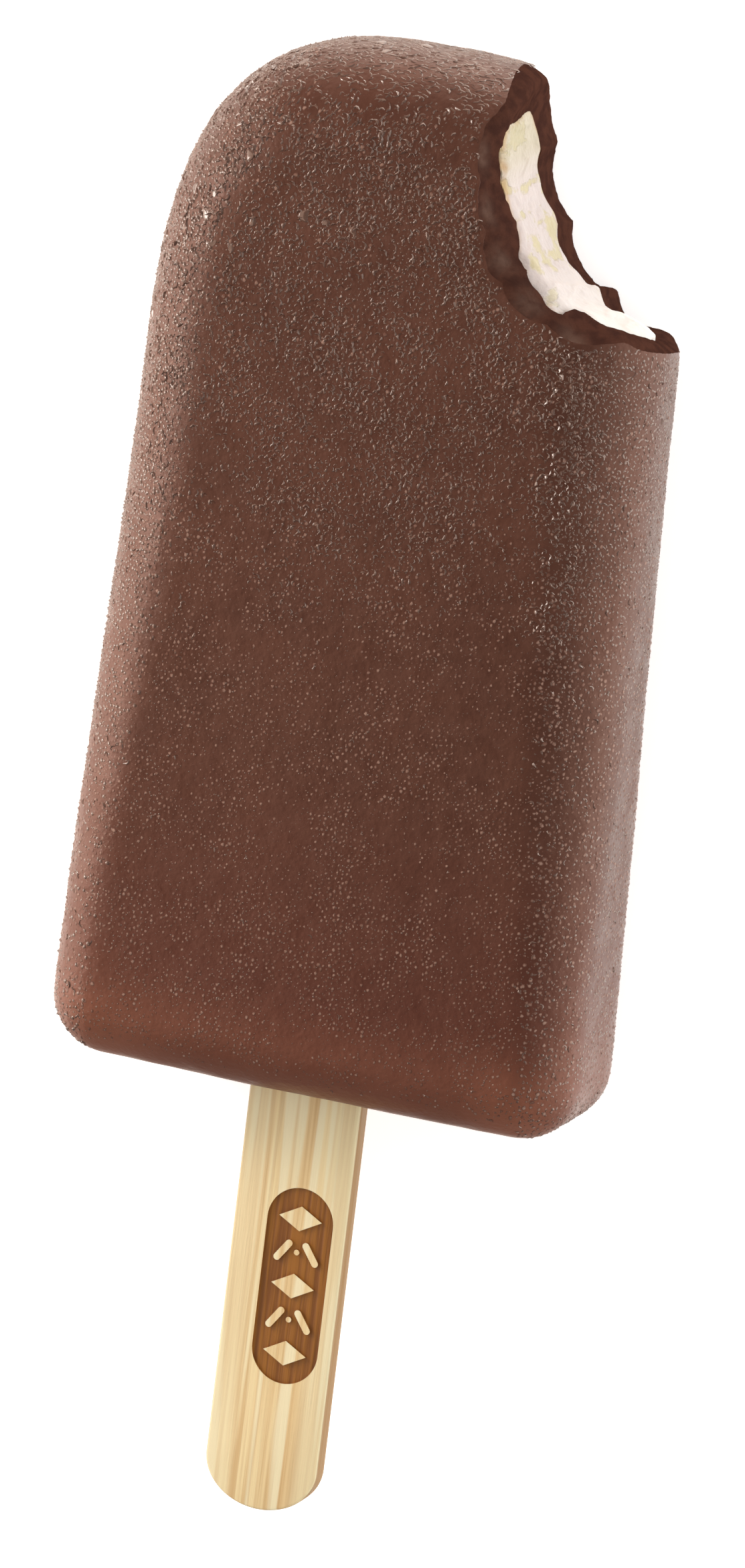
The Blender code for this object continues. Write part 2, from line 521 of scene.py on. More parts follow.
def ovalShape(x, y, length, width, turn=0.0, count=12):
    # round-ended, with its long side at the given turn from y
    reach = (length - width) / 2
    ahead, aside = math.cos(turn), math.sin(turn)
    spots = []
    for end in (0, 1):
        for angle in np.linspace(0, math.pi, count) + end * math.pi:
            across = width / 2 * math.cos(angle)
            along = width / 2 * math.sin(angle) + (reach if end == 0 else -reach)
            spots.append((x + across * ahead - along * aside, y + across * aside + along * ahead))
    return spots


def lozengeShape(x, y, width, height):
    return [(x + width / 2 * math.cos(a), y + height / 2 * math.sin(a)) for a in np.arange(4) * math.pi / 2]


def prism(name, flat, low, high):
    flat = np.array(flat)
    rings = [np.column_stack([flat, np.full(len(flat), z)]) for z in (low, high)]
    return newPiece(name, *joinRings(rings, capped=True))


def stampCutter():
    x, y = stamp["middle"]
    top = stick["thickness"] / 2
    rounded = ovalShape(x, y, stamp["length"], stamp["width"], count=40)
    panel = prism("panel", rounded, top - stamp["depth"], top + 1)
    shapes = []
    for k in range(-2, 3):
        level = y + k * stamp["pitch"]
        if k % 2 == 0:
            shapes.append(lozengeShape(x, level, *stamp["lozenge"]))
            continue
        slant = math.radians(stamp["slant"])
        for side in (-1, 1):
            shapes.append(ovalShape(x + side * stamp["spread"], level, *stamp["bar"], turn=side * slant))
        shapes.append(ovalShape(x, level, stamp["dot"] + 0.01, stamp["dot"], count=7))
    motifs = [prism("motif", flat, top - 2 * stamp["depth"], top + 2) for flat in shapes]
    carve(panel, *motifs)
    remove(*motifs)
    return panel


woodStick = stickBody("woodenStick")
stickHole = stickBody("stickHole", 0.02)
stampPanel = stampCutter()
carve(woodStick, stampPanel)

coat = carve(coatShell, cavity, coatBite, stickHole)
print("coat carved", len(coat.data.polygons))
core = carve(core, creamBite, stickHole)
print("core carved", len(core.data.polygons))
remove(cavity, coatBite, creamBite, stickHole, stampPanel)


def linear(hexText):
    parts = [int(hexText[i : i + 2], 16) / 255 for i in (1, 3, 5)]
    return (*[p / 12.92 if p <= 0.04045 else ((p + 0.055) / 1.055) ** 2.4 for p in parts], 1.0)


def addNode(tree, kind, settings=None, links=None, output=0):
    # a new node's chosen output, or all of them for None
    node = tree.nodes.new(kind)
    for name, value in (settings or {}).items():
        setattr(node, name, value)
    for name, value in (links or {}).items():
        if isinstance(value, bpy.types.NodeSocket):
            tree.links.new(value, node.inputs[name])
        else:
            node.inputs[name].default_value = value
    return node.outputs if output is None else node.outputs[output]


# Settings that many nodes share
gentle = {"interpolation_type": "SMOOTHSTEP"}
product = {"operation": "MULTIPLY"}


def newMaterial(name, values):
    material = bpy.data.materials.new(name)
    material.use_nodes = True
    tree = material.node_tree
    shader = tree.nodes["Principled BSDF"]
    for socket, value in values.items():
        shader.inputs[socket].default_value = value
    place = addNode(tree, "ShaderNodeTexCoord", output="Object")
    return material, tree, shader, place


def patches(tree, place, size, stretch=(1, 1, 1), detail=2.0, low=0.35, high=0.65, shift=0.0):
    # soft patches from 0 to 1, with features of the given size in mm
    moves = {"Scale": [1 / (size * mm * part) for part in stretch], "Location": (shift, shift, shift)}
    moved = addNode(tree, "ShaderNodeMapping", {}, {"Vector": place, **moves})
    grain = addNode(tree, "ShaderNodeTexNoise", {}, {"Vector": moved, "Scale": 1.0, "Detail": detail})
    return addNode(tree, "ShaderNodeMapRange", gentle, {"Value": grain, "From Min": low, "From Max": high})


def along(tree, place, axis, low, high):
    # 0 rising to 1 between two places in mm along one of the bar's axes
    ends = toRow([[low] * 3, [high] * 3])[:, axis]
    parts = addNode(tree, "ShaderNodeSeparateXYZ", {}, {0: place}, None)
    links = {"Value": parts[axis], "From Min": ends[0], "From Max": ends[1]}
    return addNode(tree, "ShaderNodeMapRange", gentle, links)


def layered(tree, target, base, *layers):
    # a base colour under layers of (colour, shares that multiply to how much of it shows)
    shown = linear(base)
    for hexText, cover, *shares in layers:
        for share in shares:
            cover = addNode(tree, "ShaderNodeMath", product, {0: cover, 1: share})
        links = {0: cover, 6: shown, 7: linear(hexText)}
        shown = addNode(tree, "ShaderNodeMix", {"data_type": "RGBA"}, links, 2)
    tree.links.new(shown, target)


def texture(tree, shader, worn, low, high, *layers):
    # roughness from low to high by a pattern, and relief of (height, depth in mm) layers on one another
    roughness = addNode(tree, "ShaderNodeMapRange", {}, {"Value": worn, "To Min": low, "To Max": high})
    tree.links.new(roughness, shader.inputs["Roughness"])
    links = {"Strength": 1.0}
    for height, depth in layers:
        links.update({"Height": height, "Distance": depth * mm})
        links["Normal"] = addNode(tree, "ShaderNodeBump", {}, links)
    tree.links.new(links["Normal"], shader.inputs["Normal"])


# Milk chocolate, dipped and frozen: a satin brown film, frosted here and there, with painted light:
# its brown painted paler and warmer low at both sides, along the bottom rim and up the left side
def milkChocolate():
    look = {"IOR": 1.45, "Specular Tint": linear("#ffd0bc")}
    material, tree, shader, place = newMaterial("milkChocolate", look)
    layered(
        tree, shader.inputs["Base Color"], "#462920",
        ("#4e2f25", patches(tree, place, 9)),
        ("#583a30", patches(tree, place, 1.6, shift=3), 0.35),
        ("#522a22", along(tree, place, 1, 35, 4), 0.6),
        # painted light at the lower corners, the bottom rim and the left side
        ("#80503e", addNode(tree, "ShaderNodeAttribute", {"attribute_name": "corner"}, output="Fac")),
    )
    broad = patches(tree, place, 1.4, low=0.2, high=0.8, shift=2)
    fine = patches(tree, place, 0.45, detail=3, low=0.2, high=0.8, shift=8)
    texture(tree, shader, patches(tree, place, 3.0, shift=6), 0.36, 0.46, (broad, 0.04), (fine, 0.02))
    return material


# The same chocolate where teeth went through it: darker and dull, with a painted highlight, paler and
# greyer, in the middle of each tooth's hollow
def bittenChocolate():
    look = {"IOR": 1.45, "Specular IOR Level": 0.0}
    material, tree, shader, place = newMaterial("bittenChocolate", look)
    hollow = addNode(tree, "ShaderNodeAttribute", {"attribute_name": "hollow"}, output="Fac")
    layered(
        tree, shader.inputs["Base Color"], "#3f2822",
        ("#4d3128", patches(tree, place, 1.1, detail=3)),
        # painted highlight in the middle of each tooth's hollow
        ("#5e483f", hollow, patches(tree, place, 0.9, low=0.1, high=0.6, shift=3)),
    )
    torn = patches(tree, place, 0.5, detail=3, low=0.2, high=0.8, shift=5)
    texture(tree, shader, patches(tree, place, 1.5, shift=6), 0.5, 0.7, (torn, 0.05))
    return material


# Vanilla ice cream, scraped by teeth: pinkish-white smears over pale yellow, painted whiter towards
# the low end as painted light, and a tan line of painted shade along its rim
def vanillaIceCream():
    depths = {"Subsurface Weight": 0.2, "Subsurface Radius": (1.0, 0.7, 0.5), "Subsurface Scale": mm}
    material, tree, shader, place = newMaterial("vanillaIceCream", {"IOR": 1.35, **depths})
    smear = patches(tree, place, 3.2, (1, 0.6, 1.2), detail=5, low=0.40, high=0.47)
    rim = addNode(tree, "ShaderNodeAttribute", {"attribute_name": "rim"}, output="Fac")
    patchyShade = patches(tree, place, 2.5, low=0.3, high=0.6, shift=4)
    layered(
        tree, shader.inputs["Base Color"], "#bdb393",
        ("#bfb4b1", smear),
        ("#afa789", along(tree, place, 1, 80, 85), 0.8),
        # painted light: whiter towards the low end
        ("#e6e2de", along(tree, place, 0, 11, 19)),
        # painted shade: a tan line in patches along the rim, where the cream meets the chocolate
        ("#b08b58", rim, patchyShade, along(tree, place, 0, 16, 14), 0.7),
    )
    scraped = patches(tree, place, 0.5, detail=3, low=0.2, high=0.8)
    texture(tree, shader, smear, 0.5, 0.35, (smear, 0.08), (scraped, 0.05))
    return material


# Birch, cut and sanded: pale yellow with straight tan grain along its length, paler towards both edges,
# and its sides painted darker as painted shade
def birchWood():
    material, tree, shader, place = newMaterial("birchWood", {"IOR": 1.5, "Specular IOR Level": 0.3})
    narrow = patches(tree, place, 0.42, (1, 60, 1), detail=3, low=0.4, high=0.72, shift=3)
    x = addNode(tree, "ShaderNodeSeparateXYZ", {}, {0: place})
    offset = addNode(tree, "ShaderNodeMath", {"operation": "SUBTRACT"}, {0: x, 1: stick["middle"] * mm})
    away = addNode(tree, "ShaderNodeMath", {"operation": "ABSOLUTE"}, {0: offset})
    edges = {"Value": away, "From Min": 2.2 * mm, "From Max": 3.6 * mm}
    top = stick["thickness"] / 2
    layered(
        tree, shader.inputs["Base Color"], "#f6e6b6",
        ("#e9cf9c", patches(tree, place, 1.5, (1, 24, 1))),
        ("#c69d66", narrow, 0.6),
        ("#f8f1cc", patches(tree, place, 0.9, (1, 40, 1), detail=1, low=0.48, high=0.62, shift=7), 0.85),
        ("#f3ebc4", addNode(tree, "ShaderNodeMapRange", gentle, edges), 0.5),
        # painted shade: the sides under the top face are painted darker
        ("#8c6a3c", along(tree, place, 2, top - 0.01, top - 0.2)),
    )
    fibre = patches(tree, place, 0.12, (1, 30, 1), low=0.2, high=0.8)
    texture(tree, shader, narrow, 0.5, 0.65, (fibre, 0.015))
    return material


# The same birch under a hot stamp: burnt brown, deepest along some of its grain
def scorchedBirch():
    material, tree, shader, place = newMaterial("scorchedBirch", {"IOR": 1.5, "Specular IOR Level": 0.3})
    grain = patches(tree, place, 0.4, (1, 30, 1), detail=3)
    layered(tree, shader.inputs["Base Color"], "#7a4a1c", ("#9c6729", grain))
    texture(tree, shader, grain, 0.5, 0.65, (grain, 0.03))
    return material


# Meltwater on cold chocolate: clear beads over the brown film, seen as glossier brown with a warm glint
def dewOnChocolate():
    look = {"IOR": 1.5, "Specular IOR Level": 1.0, "Specular Tint": linear("#fff0e6"), "Roughness": 0.13}
    material, tree, shader, place = newMaterial("dewOnChocolate", look)
    layered(tree, shader.inputs["Base Color"], "#4c3229", ("#573b30", patches(tree, place, 2.0)))
    return material


# Hoarfrost on the same film: specks of fine ice crystals, too small to be clear, so dull and paler than
# the brown that their feet melt into
def rimeOnChocolate():
    look = {"IOR": 1.45, "Specular Tint": linear("#ffd0bc"), "Roughness": 0.45}
    material, tree, shader, place = newMaterial("rimeOnChocolate", look)
    peak = addNode(tree, "ShaderNodeAttribute", {"attribute_name": "peak"}, output="Fac")
    foot = addNode(tree, "ShaderNodeMapRange", gentle, {"Value": peak, "From Min": 0.7, "From Max": 0.0})
    layered(
        tree, shader.inputs["Base Color"], "#64453a",
        ("#93786c", patches(tree, place, 0.8)),
        ("#4a2b23", foot),
    )
    return material


def paint(piece, *materials):
    piece.data.materials.clear()
    for material in materials:
        piece.data.materials.append(material)


def usePart(piece, part, test):
    # the faces whose middle and way out pass the test take the material of that number
    for face in piece.data.polygons:
        if test(Vector(fromRow(face.center)), face.normal):
            face.material_index = part


def onBiteWall(middle, out):
    return coatCutTree.find_nearest(middle)[3] < 0.03 and outerTree.find_nearest(middle)[3] > 0.012


def inStamp(middle, out):
    x, y = stamp["middle"]
    low = abs(middle.z - stick["thickness"] / 2 + stamp["depth"] / 2) < stamp["depth"] / 2 + 0.005
    near = abs(middle.x - x) < stamp["width"] / 2 + 0.01 and abs(middle.y - y) < stamp["length"] / 2 + 0.01
    return low and near and not (out.z > 0.9 and middle.z > stick["thickness"] / 2 - 0.01)


def paintedHollowHighlights(spots):
    # painted highlight: 1 in the middle of each tooth's hollow, just under the front
    turn = np.degrees(biteAngle(spots))
    dips = [np.exp(-(((turn - middle) / 5.0) ** 2)) for middle in (182, 201, 219, 236, 255)]
    return np.max(dips, axis=0) * np.exp(-(((spots[:, 2] - 8.0) / 0.5) ** 2))


def paintedEdgeLight(spots):
    # painted light, paler and warmer: low at both sides, along the bottom rim and up the left side
    x, y, _ = spots.T
    edges = smooth(13, 23, -x) + 0.6 * smooth(16, 23, x)
    corners = 0.45 * smooth(8, 20, -x) + 0.45 * smooth(13, 19, x) * smooth(23.5, 21, x)
    lowRim = (0.45 + corners) * smooth(11.0, 1.5, y)
    leftPaintedLight = 0.3 * smooth(17, 23, -x)
    return np.maximum(0.75 * edges * smooth(15, 1, y), np.maximum(lowRim, leftPaintedLight))


# painted highlight in the bite's tooth hollows
setField(coat, "hollow", paintedHollowHighlights(points(coat)))
# painted light on the coat's edges and corners
setField(coat, "corner", paintedEdgeLight(points(coat)))
paint(coat, milkChocolate(), bittenChocolate())
usePart(coat, 1, onBiteWall)
# painted shade along the cream's rim
rimDepth = np.array([inside(coreTree, spot) for spot in points(core)])
setField(core, "rim", smooth(0.9, 0.25, rimDepth))
paint(core, vanillaIceCream())
paint(woodStick, birchWood(), scorchedBirch())
usePart(woodStick, 1, inStamp)
print("surfaces finished")


dewInputs = (
    ("Surface", "Geometry"),
    ("Coverage", "String"),
    ("Size", "String"),
    ("Shapes", "Collection"),
    ("Finish", "Material"),
    ("Lean", "Vector"),
    ("Spacing", "Float"),
    ("Crowding", "Float"),
    ("Shortest", "Float"),
    ("Longest", "Float"),
    ("Breadth", "Float"),
    ("Height", "Float"),
    ("Spread", "Float"),
    ("Wobble", "Float"),
    ("Ripple", "Float"),
    ("Seed", "Int"),
)


def dewTree():
    # drops sown over a surface by a coverage field, turned about its normal and joined into one mesh
    tree = bpy.data.node_groups.new("dewOnASurface", "GeometryNodeTree")
    for name, kind in dewInputs:
        tree.interface.new_socket(name, in_out="INPUT", socket_type="NodeSocket" + kind)
    tree.interface.new_socket("Drops", in_out="OUTPUT", socket_type="NodeSocketGeometry")
    given = addNode(tree, "NodeGroupInput", output=None)

    def either(low, high, seed):
        # a random number between the two for each drop
        mixed = addNode(tree, "ShaderNodeMath", {"operation": "ADD"}, {0: given["Seed"], 1: float(seed)})
        return addNode(tree, "FunctionNodeRandomValue", {}, {2: low, 3: high, 8: mixed}, 1)

    coverage = addNode(tree, "GeometryNodeInputNamedAttribute", {}, {"Name": given["Coverage"]})
    size = addNode(tree, "GeometryNodeInputNamedAttribute", {}, {"Name": given["Size"]})
    sowing = {
        "Mesh": given["Surface"],
        "Distance Min": given["Spacing"],
        "Density Max": given["Crowding"],
        "Density Factor": coverage,
        "Seed": given["Seed"],
    }
    apart = {"distribute_method": "POISSON"}
    sown = addNode(tree, "GeometryNodeDistributePointsOnFaces", apart, sowing, None)

    outward = {"Vector": sown["Normal"]}
    upright = addNode(tree, "FunctionNodeAlignRotationToVector", {"axis": "Z"}, outward)
    swept = {"Rotation": upright, "Vector": given["Lean"]}
    leaning = addNode(tree, "FunctionNodeAlignRotationToVector", {"axis": "Y", "pivot_axis": "Z"}, swept)
    back = addNode(tree, "ShaderNodeMath", product, {0: given["Spread"], 1: -1.0})
    swinging = {"Axis": (0, 0, 1), "Angle": either(back, given["Spread"], 1)}
    swing = addNode(tree, "FunctionNodeAxisAngleToRotation", {}, swinging)
    swung = {"Rotation": leaning, "Rotate By": swing}
    turned = addNode(tree, "FunctionNodeRotateRotation", {"rotation_space": "LOCAL"}, swung)

    length = either(given["Shortest"], given["Longest"], 2)
    sizes = [addNode(tree, "ShaderNodeMath", product, {0: length, 1: size})]
    for share, low, high, seed in ((given["Breadth"], 0.75, 1.3, 3), (given["Height"], 0.8, 1.2, 4)):
        mean = addNode(tree, "ShaderNodeMath", product, {0: sizes[-1], 1: share})
        sizes.append(addNode(tree, "ShaderNodeMath", product, {0: mean, 1: either(low, high, seed)}))
    scale = addNode(tree, "ShaderNodeCombineXYZ", {}, {0: sizes[1], 1: sizes[0], 2: sizes[2]})

    kinds = {"Collection": given["Shapes"], "Separate Children": True}
    choice = {4: 0, 5: 99, 8: given["Seed"]}
    placing = {
        "Points": sown["Points"],
        "Instance": addNode(tree, "GeometryNodeCollectionInfo", {}, kinds),
        "Pick Instance": True,
        "Instance Index": addNode(tree, "FunctionNodeRandomValue", {"data_type": "INT"}, choice, 2),
        "Rotation": turned,
        "Scale": scale,
    }
    placed = addNode(tree, "GeometryNodeInstanceOnPoints", {}, placing)
    real = addNode(tree, "GeometryNodeRealizeInstances", {}, {"Geometry": placed})

    grain = {"Vector": addNode(tree, "GeometryNodeInputPosition"), "Scale": given["Ripple"], "Detail": 1.0}
    ripple = addNode(tree, "ShaderNodeTexNoise", {}, grain, "Color")
    middle = {0: ripple, 1: (0.5, 0.5, 0.5)}
    centred = addNode(tree, "ShaderNodeVectorMath", {"operation": "SUBTRACT"}, middle)
    pushed = addNode(tree, "ShaderNodeVectorMath", {"operation": "SCALE"}, {0: centred, 3: given["Wobble"]})
    moved = addNode(tree, "GeometryNodeSetPosition", {}, {"Geometry": real, "Offset": pushed})
    rounded = addNode(tree, "GeometryNodeSetShadeSmooth", {}, {0: moved})
    painted = {"Geometry": rounded, "Material": given["Finish"]}
    finished = addNode(tree, "GeometryNodeSetMaterial", {}, painted)
    addNode(tree, "NodeGroupOutput", {}, {0: finished}, None)
    return tree


def strokeShape(turn, hook, swell):
    # a bent run of water one unit long: a low ridge carried along a curve
    share = np.linspace(0, 1, 5)
    heading = turn * (share - 0.5) + hook * smooth(0.5, 1.0, share)
    x = np.concatenate([[0], np.cumsum(np.sin(heading[1:]))])
    y = np.concatenate([[0], np.cumsum(np.cos(heading[1:]))])
    size = max(np.ptp(x), np.ptp(y))
    x = (x - (x.max() + x.min()) / 2) / size
    y = (y - (y.max() + y.min()) / 2) / size
    half = 0.17 * np.sin(math.pi * (0.09 + 0.82 * share)) ** 0.7 * (1 + swell * (share - 0.5))
    rings = []
    for middleX, middleY, wide, way in zip(x, y, half, heading):
        ring = []
        for across, height in ((-1, -0.1), (1, -0.1), (0, wide / half.max())):
            reach = across * wide
            ring.append((middleX + reach * math.cos(way), middleY - reach * math.sin(way), height))
        rings.append(ring)
    return joinRings(rings, capped=True)


def beadShape(sides, levels, bend, taper):
    # one unit long, wide and high: (height, share of the outline) levels under a closed top
    rings = []
    turn = np.arange(sides) / sides * 2 * math.pi
    for height, share in levels:
        y = 0.5 * np.sin(turn) * share
        x = 0.5 * np.cos(turn) * share * (1 - taper * np.sin(turn)) + bend * (2 * y * y - 0.25)
        rings.append(np.column_stack([x, y, np.full(sides, height)]))
    spots, faces = joinRings(rings)
    faces.append(tuple(range(sides - 1, -1, -1)))
    top = len(spots) - sides
    faces += [(top + k, top + (k + 1) % sides, len(spots)) for k in range(sides)]
    return [*spots.tolist(), (-0.2 * bend, 0.05 * taper, 1.0)], faces


def dropShapes(name, forms):
    kinds = bpy.data.collections.new(name)
    for k, (spots, faces) in enumerate(forms):
        data = bpy.data.meshes.new(f"{name}{k}")
        data.from_pydata(spots if isinstance(spots, list) else spots.tolist(), [], faces)
        peak = data.attributes.new("peak", "FLOAT", "POINT")
        peak.data.foreach_set("value", [max(spot[2], 0.0) for spot in spots])
        kinds.objects.link(bpy.data.objects.new(f"{name}{k}", data))
    return kinds


# (turn, hook, swell) of each run, and (bend, taper) of each bead
strokeForms = (
    (0.5, 0, 0.6), (-0.8, 0, -0.5), (1.4, -2.2, 0.5), (0.4, 1.9, -0.6),
    (-1.6, 1.8, 0.3), (0.2, -1.5, 0.9), (2.2, 0, 0.2),
)
speckForms = ((0.0, 0.1), (0.4, 0.2), (-0.5, 0.3), (0.15, -0.3))
blobForms = ((0.1, 0.1), (-0.3, 0.25), (0.4, 0.1), (0.8, 0.3), (-0.7, 0.15))
strokes = dropShapes("stroke", [strokeShape(*form) for form in strokeForms])
specks = dropShapes("speck", [beadShape(6, ((-0.1, 1.0),), *form) for form in speckForms])
blobLevels = ((-0.1, 1.0), (0.35, 0.92), (0.75, 0.72), (0.95, 0.4))
blobs = dropShapes("blob", [beadShape(14, blobLevels, *form) for form in blobForms])
dewLook = dewOnChocolate()
rimeLook = rimeOnChocolate()
sower = dewTree()

# How far the surface faces each way, how high up it lies, and what is left of it outside the bite
dewSource = bpy.data.objects.new("dewSource", coat.data.copy())
dewSource.data.materials.clear()
bpy.context.scene.collection.objects.link(dewSource)
spots = points(dewSource)
facing = normals(dewSource)
outside = np.array([outerTree.find_nearest(spot)[3] < 0.02 for spot in spots])
clear = outside * smooth(0.1, 0.4, biteGap(spots)) * smooth(-8.4, -7.2, spots[:, 2])
drift = bumpyAll(spots, 12.0, 31, 2)
fleck = bumpyAll(spots, 4.5, 32, 2)
front = smooth(0.72, 0.95, facing[:, 2])
leftward = smooth(0.12, 0.45, -facing[:, 0])
rightward = smooth(0.10, 0.40, facing[:, 0])
topward = smooth(0.45, 0.8, facing[:, 1])
upper = smooth(34, 60, spots[:, 1] + 9 * drift)
shoulder = smooth(62, 78, spots[:, 1]) * smooth(0, -8, spots[:, 0])
setField(dewSource, "fullSize", np.ones(len(spots)))
setField(dewSource, "upperSize", 0.75 + 0.35 * smooth(35, 85, spots[:, 1]) + 0.25 * fleck)

# What every kind of drop is unless it says otherwise. Lengths and spacings are in mm
dewCommon = {"size": "fullSize", "shapes": specks, "finish": dewLook, "lean": (0.34, 0.94, 0)}
dewKinds = {
    # combed by the cold air: bent runs over the upper front, with fine specks between them
    "frontRuns": {
        "where": front * (0.01 + 0.99 * upper) * (0.6 + 0.4 * smooth(-0.5, 0.15, fleck + drift)),
        "size": "upperSize",
        "shapes": strokes,
        "spread": 0.7,
        "spacing": 0.42,
        "length": (0.27, 0.54),
        "breadth": 1.3,
        "height": 0.11,
        "seed": 3,
    },
    "frontSpecks": {
        "where": front * (0.5 + 0.5 * upper) * (0.5 + 0.5 * smooth(-0.5, 0.2, fleck)),
        "size": "upperSize",
        "spread": 0.9,
        "spacing": 0.31,
        "length": (0.1, 0.26),
        "breadth": 0.7,
        "height": 0.32,
        "seed": 5,
    },
    "lowFrost": {
        "where": front * (1 - 0.8 * upper) * (0.35 + 0.65 * smooth(-0.4, 0.3, fleck)),
        "size": "upperSize",
        "finish": rimeLook,
        "spread": 0.6,
        "spacing": 0.36,
        "length": (0.14, 0.56),
        "breadth": 0.65,
        "height": 0.2,
        "seed": 7,
    },
    "sideFrost": {
        "where": np.maximum(leftward, rightward) * (1 - 0.75 * upper),
        "finish": rimeLook,
        "spread": 1.0,
        "spacing": 0.42,
        "length": (0.16, 0.52),
        "breadth": 0.75,
        "height": 0.2,
        "seed": 23,
    },
    "leftRuns": {
        "where": leftward * (0.3 + 0.7 * smooth(35, 55, spots[:, 1])),
        "size": "upperSize",
        "shapes": strokes,
        "lean": (0.3, 0.95, 0),
        "spread": 1.3,
        "spacing": 0.6,
        "length": (0.35, 0.8),
        "breadth": 1.1,
        "height": 0.12,
        "seed": 11,
    },
    "leftBeads": {
        "where": leftward * (0.3 + 0.7 * smooth(15, 45, spots[:, 1])),
        "lean": (0.3, 0.95, 0),
        "spread": 1.3,
        "spacing": 0.34,
        "length": (0.18, 0.5),
        "breadth": 0.8,
        "height": 0.38,
        "seed": 12,
    },
    "rightSpecks": {
        "where": rightward * (0.45 + 0.55 * upper),
        "lean": (0.1, 0.99, 0),
        "spread": 1.2,
        "spacing": 0.33,
        "length": (0.12, 0.36),
        "breadth": 0.7,
        "height": 0.32,
        "seed": 13,
    },
    "rightRuns": {
        "where": rightward * (0.25 + 0.75 * upper),
        "shapes": strokes,
        "lean": (0.1, 0.99, 0),
        "spread": 1.4,
        "spacing": 0.5,
        "length": (0.22, 0.5),
        "breadth": 1.2,
        "height": 0.11,
        "seed": 29,
    },
    "topRipples": {
        "where": topward,
        "shapes": strokes,
        "lean": (1, 0, 0),
        "spread": 0.6,
        "spacing": 0.36,
        "length": (0.35, 0.8),
        "breadth": 0.8,
        "height": 0.1,
        "seed": 17,
    },
    "shoulderBlobs": {
        "where": shoulder * smooth(0.0, 0.4, fleck),
        "shapes": blobs,
        "lean": (0.3, 0.95, 0),
        "spread": 1.0,
        "spacing": 1.8,
        "length": (0.5, 1.3),
        "breadth": 0.6,
        "height": 0.08,
        "seed": 19,
    },
}


def sow(name, kind):
    kind = {**dewCommon, **kind}
    setField(dewSource, name + "Cover", np.clip(kind["where"], 0, 1) * clear)
    piece = dewSource.copy()
    piece.name = name
    piece.data = dewSource.data.copy()
    bpy.context.scene.collection.objects.link(piece)
    values = {
        "Coverage": name + "Cover",
        "Size": kind["size"],
        "Shapes": kind["shapes"],
        "Finish": kind["finish"],
        "Lean": kind["lean"],
        "Spacing": kind["spacing"] * mm,
        "Crowding": 4.0 / (kind["spacing"] * mm) ** 2,
        "Shortest": kind["length"][0] * mm,
        "Longest": kind["length"][1] * mm,
        "Breadth": kind["breadth"],
        "Height": kind["height"],
        "Spread": kind["spread"],
        "Wobble": kind["length"][1] * 0.12 * mm,
        "Ripple": 1.4 / (kind["length"][1] * mm),
        "Seed": kind["seed"],
    }
    modifier = piece.modifiers.new("sow", "NODES")
    modifier.node_group = sower
    for socket in sower.interface.items_tree:
        if socket.name in values:
            modifier[socket.identifier] = values[socket.name]
    bake(piece)
    print(name, len(piece.data.polygons), "faces")
    return piece


dew = [sow(name, kind) for name, kind in dewKinds.items()]
for kinds in (strokes, specks, blobs):
    remove(*kinds.objects)
    bpy.data.collections.remove(kinds)
remove(dewSource)

for piece, angle in ((coat, 50), (core, 60), (woodStick, 40), *((drops, 70) for drops in dew)):
    piece.data.shade_smooth()
    piece.data.set_sharp_from_angle(angle=math.radians(angle))

for piece, node, slot in (
    (coat, "chocolate_coating", "chocolate"),
    (core, "ice_cream_core", "ice_cream"),
    (woodStick, "stick", "wood"),
):
    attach(piece, "root")
    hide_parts(node)
for piece in dew:
    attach(piece, "root")


studio = {
    "lens": 400.0,
    "sensor": 36.0,
    "viewHeight": 133.3,
    "azimuth": 18.5,
    "elevation": 13.7,
    "roll": 6.9,
    "aim": (1.09, 26.94, 0.0),
    "floorGlow": 0.65,
    "zenith": 0.45,
    "side": 4.2,
    "farHigh": 0.8,
    "far": 4.4,
    "farLeft": 0.55,  # and what is left of it in the far left corner
    "left": 2.8,
    "nadir": 1.85,
    "nearSide": 0.3,
    "boxes": ((6, 2.1), (24, 0.85), (42, 0.7), (60, 1.35)),  # degrees up, and radiance
}

floorData = bpy.data.meshes.new("paleFloor")
floorData.from_pydata([(-3, -3, 0), (3, -3, 0), (3, 3, 0), (-3, 3, 0)], [], [(0, 1, 2, 3)])
floor = bpy.data.objects.new("paleFloor", floorData)
bpy.context.scene.collection.objects.link(floor)
glow = {"Emission Color": (1, 1, 1, 1), "Emission Strength": studio["floorGlow"]}
board, tree, shader, place = newMaterial("paleLightTable", {"Roughness": 0.9, **glow})
layered(tree, shader.inputs["Base Color"], "#f2f2f0", ("#f5f5f4", patches(tree, place, 60)))
paint(floor, board)
floor.visible_glossy = False  # the bar mirrors the cove, not the table


def softLight(name, position, size, power, colour="#ffffff"):
    data = bpy.data.lights.new(name, "AREA")
    data.shape = "RECTANGLE"
    data.size, data.size_y = size
    data.energy = power
    data.color = linear(colour)[:3]
    light = bpy.data.objects.new(name, data)
    light.location = position
    light.rotation_mode = "QUATERNION"
    light.rotation_quaternion = (Vector(position) - Vector((0, 0, 0.01))).to_track_quat("Z", "Y")
    bpy.context.scene.collection.objects.link(light)
    return light


# The fill lights the brown itself. The softboxes, dimmer the higher they stand, are only seen mirrored
softLight("leftFill", (-0.58, 0.32, 0.22), (0.2, 0.2), 3.6, "#ffe9d8").visible_glossy = False
for height, radiance in studio["boxes"]:
    turn = math.radians(height)
    spot = (-0.7 * math.cos(turn), -0.12 * math.cos(turn), 0.7 * math.sin(turn))
    box = softLight(f"leftSoftbox{height}", spot, (0.9, 0.22), radiance * math.pi * 0.9 * 0.22, "#ffe6d4")
    box.visible_diffuse = False
softLight("sparkle", (-0.62, -0.02, 0.3), (0.22, 0.22), 1.6).visible_diffuse = False

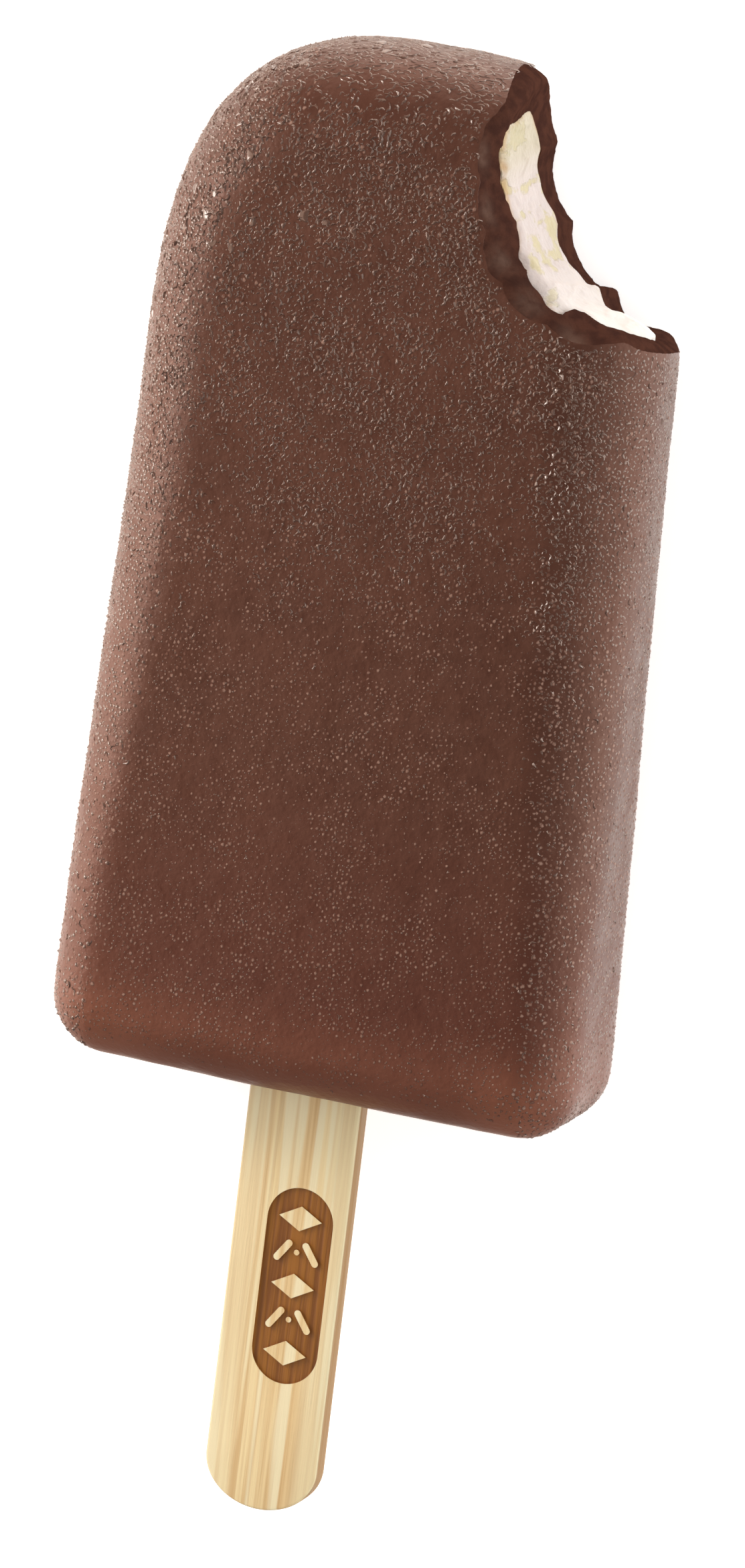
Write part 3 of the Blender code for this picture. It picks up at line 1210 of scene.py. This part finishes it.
# A white cove: bright low down on the right and far sides, dim overhead and at the camera's feet
world = bpy.data.worlds.new("whiteCove")
world.use_nodes = True
tree = world.node_tree
background = tree.nodes["Background"].inputs
compass = addNode(tree, "ShaderNodeTexCoord", output="Generated")
way = addNode(tree, "ShaderNodeSeparateXYZ", {}, {0: compass}, None)


def shade(axis, low, high, first, second):
    # from the first strength to the second between two values along one axis
    ends = {"Value": way[axis], "From Min": low, "From Max": high}
    share = addNode(tree, "ShaderNodeMapRange", gentle, ends)
    return addNode(tree, "ShaderNodeMix", {"data_type": "FLOAT"}, {0: share, 2: first, 3: second})


side = shade(2, 0.95, -0.15, studio["zenith"], studio["side"])
far = shade(2, 0.35, -0.3, studio["farHigh"], studio["far"])
dim = addNode(tree, "ShaderNodeMath", product, {0: far, 1: studio["farLeft"]})
far = shade(0, -0.35, -0.65, far, dim)
left = shade(2, 0.95, -0.15, studio["zenith"], studio["left"])
wall = shade(0, 0.2, -0.4, side, left)
wall = shade(1, 0.1, 0.6, wall, far)
wall = shade(2, -0.45, -0.95, wall, studio["nadir"])
wall = shade(1, -0.3, -0.8, wall, studio["nearSide"])
tree.links.new(wall, background["Strength"])
warmSide = addNode(tree, "ShaderNodeMapRange", gentle, {"Value": way[0], "From Min": 0.2, "From Max": -0.4})
layered(tree, background["Color"], "#fffaf5", ("#fff0e4", warmSide))
scene = bpy.context.scene
scene.world = world
scene.view_settings.view_transform = "Standard"
scene.view_settings.look = "None"

cameraData = bpy.data.cameras.new("camera")
cameraData.lens = studio["lens"]
cameraData.sensor_width = studio["sensor"]
cameraData.clip_start = 0.01
camera = bpy.data.objects.new("camera", cameraData)
scene.collection.objects.link(camera)
azimuth, elevation, roll = (math.radians(studio[k]) for k in ("azimuth", "elevation", "roll"))
right = Vector((math.cos(azimuth), 0, -math.sin(azimuth)))
lift = math.sin(elevation)
rise = Vector((-math.sin(azimuth) * lift, math.cos(elevation), -math.cos(azimuth) * lift))
across = right * math.cos(roll) + rise * math.sin(roll)
upright = rise * math.cos(roll) - right * math.sin(roll)
backward = across.cross(upright)
distance = studio["viewHeight"] * mm * studio["lens"] / studio["sensor"]
place = Vector(toRow([studio["aim"]])[0]) + backward * distance
camera.matrix_world = Matrix.Translation(place) @ Matrix((across, upright, backward)).transposed().to_4x4()
scene.camera = camera
print("stage set")
